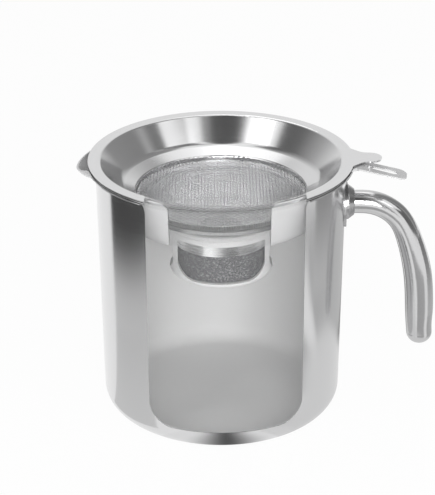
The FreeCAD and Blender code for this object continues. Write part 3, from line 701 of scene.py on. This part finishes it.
class GREASE_OT_mesh_cloth(bpy.types.Operator):
    """Woven wire cloth in the tray's collar, and the ribbed ring that holds it"""
    bl_idname = "grease.mesh_cloth"
    bl_label = "Wire cloth"

    def execute(self, context):
        cloth = settings("grease_cloth")
        look = settings("grease_finish")
        wire = steel("wire", look.wire_colour, 0.25, grain=0.0)
        self.weave(cloth, wire)
        self.ring(cloth, self.ring_sheet(look))
        return {"FINISHED"}

    def ring_sheet(self, look):
        """Band in a dark tone, a painted darker reflection, with bright ribs above it."""
        # Painted reflection: the ring's dark tone stands in for darker surroundings mirrored in its
        # band.
        finish = steel_finish("ring_sheet", shade(look.sheet_colour, 0.45), 0.30)
        z = finish.axis_and_radius()[2]
        finish.recolour(finish.over(z, RIB_TONE_FOOT), RIB_TONE)
        return finish.material

    def weave(self, cloth, material):
        """Wires that pass over and under each other, both ways across the collar."""
        radius = MESH_HIGH.x - cloth.wire_radius
        middle = (MESH_LOW.z + MESH_HIGH.z) / 2
        sway = cloth.wire_radius * WIRE_SWAY
        data = bpy.data.curves.new("wire_cloth", "CURVE")
        data.dimensions = "3D"
        data.resolution_u = 1
        data.bevel_depth = cloth.wire_radius
        data.bevel_resolution = 1
        rows = int(radius / cloth.pitch)
        for way in (0, 1):
            for row in range(-rows, rows + 1):
                across = row * cloth.pitch
                reach = math.sqrt(radius * radius - across * across)
                cells = int(reach / cloth.pitch)
                if cells < 1:
                    continue
                knots = [(-reach, 0.0)]
                for cell in range(-cells, cells + 1):
                    knots.append((cell * cloth.pitch, sway if (cell + row + way) % 2 else -sway))
                knots.append((reach, 0.0))
                spline = data.splines.new("POLY")
                spline.points.add(len(knots) - 1)
                for point, (along, lift) in zip(spline.points, knots):
                    place = (along, across) if way == 0 else (across, along)
                    point.co = (*place, middle + lift, 1.0)
        bent = bpy.data.objects.new("wire_cloth_curve", data)
        mesh = bpy.data.meshes.new_from_object(bent)
        bpy.data.objects.remove(bent)
        bpy.data.curves.remove(data)
        for face in mesh.polygons:
            face.use_smooth = True
        mesh.name = "wire_cloth"
        piece = settle("wire_cloth", mesh, material, "tray", "tray_mesh")

    def ring(self, cloth, material):
        """Plain band under the collar and fine upright ribs inside it."""
        low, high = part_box("tray_mesh_ring")
        inner, band, rib = cloth.ring_inside, high.x, MESH_HIGH.x
        edge = cloth.ring_edge
        profile = [
            (inner, low.z + edge), (inner + edge, low.z), (band - edge, low.z),
            (band, low.z + edge), (band, COLLAR_FOOT - edge / 2), (band - edge / 2, COLLAR_FOOT),
            (rib, COLLAR_FOOT), (rib, COLLAR_FOOT + edge),
            (rib, high.z - edge / 2), (rib - edge / 2, high.z),
            (inner + edge / 2, high.z), (inner, high.z - edge / 2),
        ]
        columns = cloth.ribs * RIB_COLUMNS
        shape = spun(profile, columns)
        for vert in shape.verts:
            flat = math.hypot(vert.co.x, vert.co.y)
            if abs(flat - rib) > NEAR or vert.co.z < COLLAR_FOOT + edge / 2:
                continue
            column = round(math.atan2(vert.co.y, vert.co.x) / (2 * math.pi) * columns)
            if column % RIB_COLUMNS >= RIB_COLUMNS // 2:
                push_in(vert, cloth.rib_depth)
        piece = new_piece("ribbed_ring", shape, material, "tray", "tray_mesh_ring", smooth=False)


class GREASE_OT_filter_sleeve(bpy.types.Operator):
    """Granular carbon sleeve in the cartridge"""
    bl_idname = "grease.filter_sleeve"
    bl_label = "Filter sleeve"

    def execute(self, context):
        look = settings("grease_finish")
        felt_settings = settings("grease_felt")
        low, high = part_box("cartridge_filter_sleeve")
        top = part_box("cartridge_ring")[0].z
        outer = high.x
        rows = felt_settings.rows
        profile = [(felt_settings.bore, low.z), (outer, low.z)]
        for row in range(1, rows):
            profile.append((outer, low.z + (top - low.z) * row / rows))
        inset = outer - SLEEVE_INSET
        profile += [(outer - SLEEVE_EDGE, top), (inset, top), (inset, high.z),
                    (felt_settings.bore, high.z)]
        shape = spun(profile, felt_settings.columns)
        chance = random.Random(11)
        for vert in shape.verts:
            flat = math.hypot(vert.co.x, vert.co.y)
            if flat > outer - SLEEVE_SKIN and low.z + NEAR < vert.co.z < top - NEAR:
                push_in(vert, chance.random() * felt_settings.depth)
        material = felt("carbon_felt", look.felt_dark, look.felt_light)
        piece = new_piece("carbon_sleeve", shape, material, "cartridge", "cartridge_filter_sleeve")
        return {"FINISHED"}


class GREASE_OT_finishes(bpy.types.Operator):
    """Finishes of the pieces that keep the frame's own shape"""
    bl_idname = "grease.finishes"
    bl_label = "Finishes"

    def execute(self, context):
        look = settings("grease_finish")
        handle = satin("handle_satin", look.handle_colour, 0.14)
        ferrule = satin("ferrule_satin", shade(look.handle_colour, 0.72), 0.24)
        clear = clear_front("clear_front", look.front_colour)
        lid = steel("lid_sheet", look.sheet_colour, 0.20, anisotropy=0.5, centre=LID_CENTRE)
        cup = white_plastic("white_plastic", look.plastic_colour)
        inner = steel("cartridge_steel", shade(look.handle_colour, 0.9), 0.3)
        finishes = {
            "pot_body": pot_steel("pot_satin", look.pot_colour, look.inside_colour),
            "pot_front_section": clear,
            "funnel_front_section": clear,
            "tray_front_section": clear,
            "handle_saddle_plate": ferrule,
            "handle_ferrule": ferrule,
            "handle_tube": handle,
            "handle_end_cap": handle,
            "funnel_body": stacked_sheet("funnel_sheet", look.sheet_colour, FUNNEL_LINE,
                                         FUNNEL_MATT_TOP),
            "filter_seal_ring": cup,
            "filter_cup": cup,
            "cartridge_ring": band_with_painted_reflection("cartridge_band", BAND_TONE),
            "cartridge_base": inner,
            "tray_body": stacked_sheet("tray_sheet", look.sheet_colour, TRAY_LINE),
            "lid_dish": lid,
            "lid_knob": steel("knob_polish", look.knob_colour, 0.12, grain=0.08, centre=LID_CENTRE),
            "knob_washer": cup,
            "knob_screw": inner,
        }
        for node, material in finishes.items():
            dress(node, material)
        return {"FINISHED"}


class GREASE_PT_panel(bpy.types.Panel):
    """Steps that build the grease pot"""
    bl_label = "Grease Pot"
    bl_idname = "GREASE_PT_panel"
    bl_space_type = "VIEW_3D"
    bl_region_type = "UI"
    bl_category = "Grease Pot"

    def draw(self, context):
        for step in STEPS:
            self.layout.operator(step.bl_idname)


STEPS = (GREASE_OT_stage, GREASE_OT_finishes, GREASE_OT_mesh_cloth, GREASE_OT_filter_sleeve)
GROUPS = {
    "grease_finish": GreaseFinishSettings,
    "grease_cloth": GreaseClothSettings,
    "grease_felt": GreaseFeltSettings,
    "grease_stage": GreaseStageSettings,
}


def register():
    for group in GROUPS.values():
        bpy.utils.register_class(group)
    for step in STEPS + (GREASE_PT_panel,):
        bpy.utils.register_class(step)
    for name, group in GROUPS.items():
        setattr(bpy.types.Scene, name, PointerProperty(type=group))


def unregister():
    for name in GROUPS:
        delattr(bpy.types.Scene, name)
    for step in reversed(STEPS + (GREASE_PT_panel,)):
        bpy.utils.unregister_class(step)
    for group in reversed(list(GROUPS.values())):
        bpy.utils.unregister_class(group)


def main():
    register()
    for step in STEPS:
        family, name = step.bl_idname.split(".")
        getattr(getattr(bpy.ops, family), name)()


if __name__ == "__main__":
    main()
